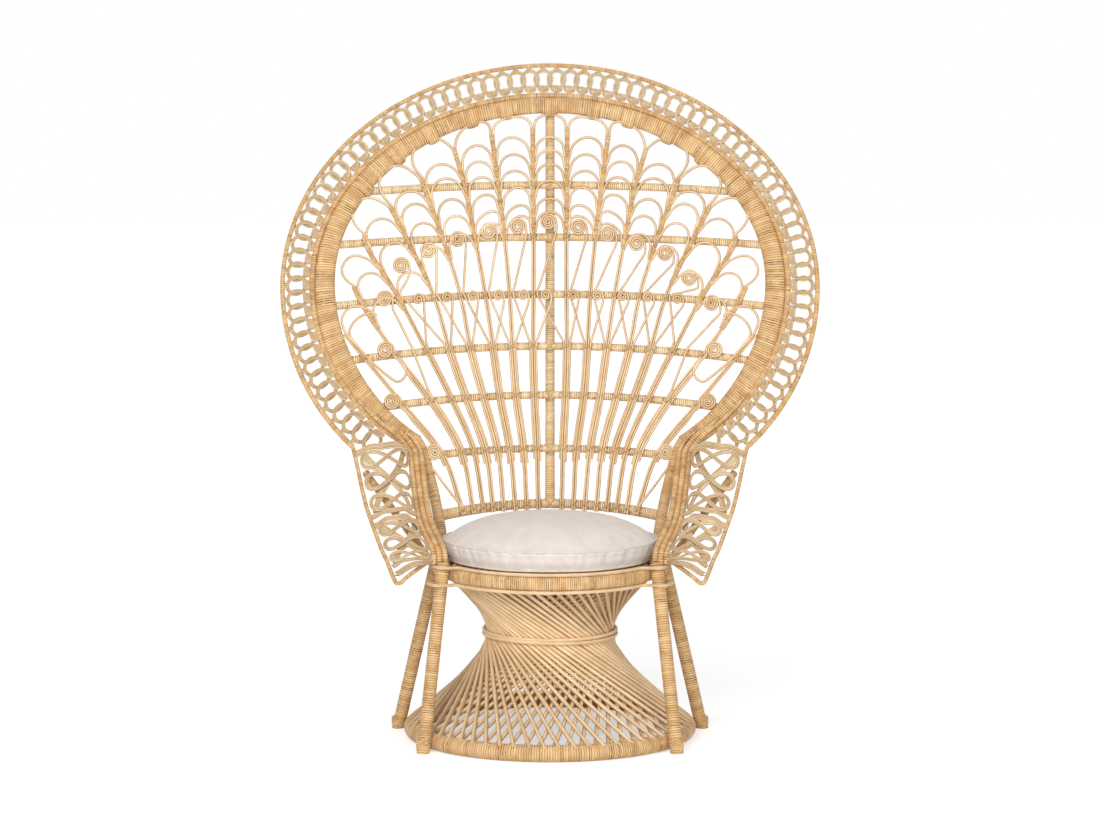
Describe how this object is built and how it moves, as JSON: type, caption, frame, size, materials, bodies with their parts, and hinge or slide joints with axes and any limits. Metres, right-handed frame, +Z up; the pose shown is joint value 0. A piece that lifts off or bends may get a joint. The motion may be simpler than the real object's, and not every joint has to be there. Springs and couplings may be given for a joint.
{
  "type": "peacock chair",
  "caption": "High-backed rattan peacock chair with a fan back of canes in a lace-edged hoop, flared lace arms, a twisted hourglass base and a loose round seat cushion.",
  "frame": {"origin": "middle of the whole chair's footprint box, on the floor", "axes": "+Z up, +Y towards the back of the chair, +X towards the sitter's left"},
  "size_m": [1.2242, 0.747, 1.4998],
  "materials": {
    "cane": "bare rattan cane with nodes, clear matt varnish",
    "wrapped_pole": "rattan pole bound with split peel, satin",
    "lace": "flat braids of split rattan peel, matt",
    "cushion_cotton": "off-white plain-weave cotton cover with piped seams"
  },
  "bodies": {
    "frame": {"base_ring": "wrapped_pole", "base_canes": "cane", "waist_reed_upper": "cane", "waist_reed_lower": "cane", "front_leg_left": "wrapped_pole", "front_leg_right": "wrapped_pole", "rear_leg_left": "wrapped_pole", "rear_leg_right": "wrapped_pole", "seat_ring": "wrapped_pole", "seat_top_reed": "cane", "seat_lower_reed": "cane", "seat_panel": "lace", "back_hoop": "wrapped_pole", "hoop_bead": "wrapped_pole", "rim_rod": "wrapped_pole", "border_lace_1": "lace", "border_lace_2": "lace", "border_lace_3": "lace", "border_lace_4": "lace", "border_lace_5": "lace", "border_lace_6": "lace", "border_lace_7": "lace", "border_lace_8": "lace", "spine": "wrapped_pole", "rail_1": "wrapped_pole", "rail_2": "wrapped_pole", "rail_3": "wrapped_pole", "rail_4": "wrapped_pole", "rail_5": "wrapped_pole", "rail_6": "wrapped_pole", "seat_back_rail": "wrapped_pole", "fan_stake_01": "cane", "fan_stake_02": "cane", "fan_stake_03": "cane", "fan_stake_04": "cane", "fan_stake_05": "cane", "fan_stake_06": "cane", "fan_stake_07": "cane", "fan_stake_08": "cane", "fan_stake_09": "cane", "fan_stake_10": "cane", "fan_stake_11": "cane", "fan_stake_12": "cane", "fan_stake_13": "cane", "fan_stake_14": "cane", "fan_stake_15": "cane", "fan_stake_16": "cane", "arm_pole_left": "wrapped_pole", "arm_pole_right": "wrapped_pole", "arm_rim_left": "wrapped_pole", "arm_rim_right": "wrapped_pole", "arm_brace_left": "wrapped_pole", "arm_brace_right": "wrapped_pole", "arm_lace_upper_left": "lace", "arm_lace_upper_right": "lace", "arm_lace_lower_left": "lace", "arm_lace_lower_right": "lace"},
    "cushion": {"seat_cushion": "cushion_cotton"}
  },
  "joints": [
    {"name": "cushion_lift", "type": "slide", "parent": "frame", "child": "cushion", "axis": [0, 0, 1], "range_m": [0, 0.3]}
  ]
}
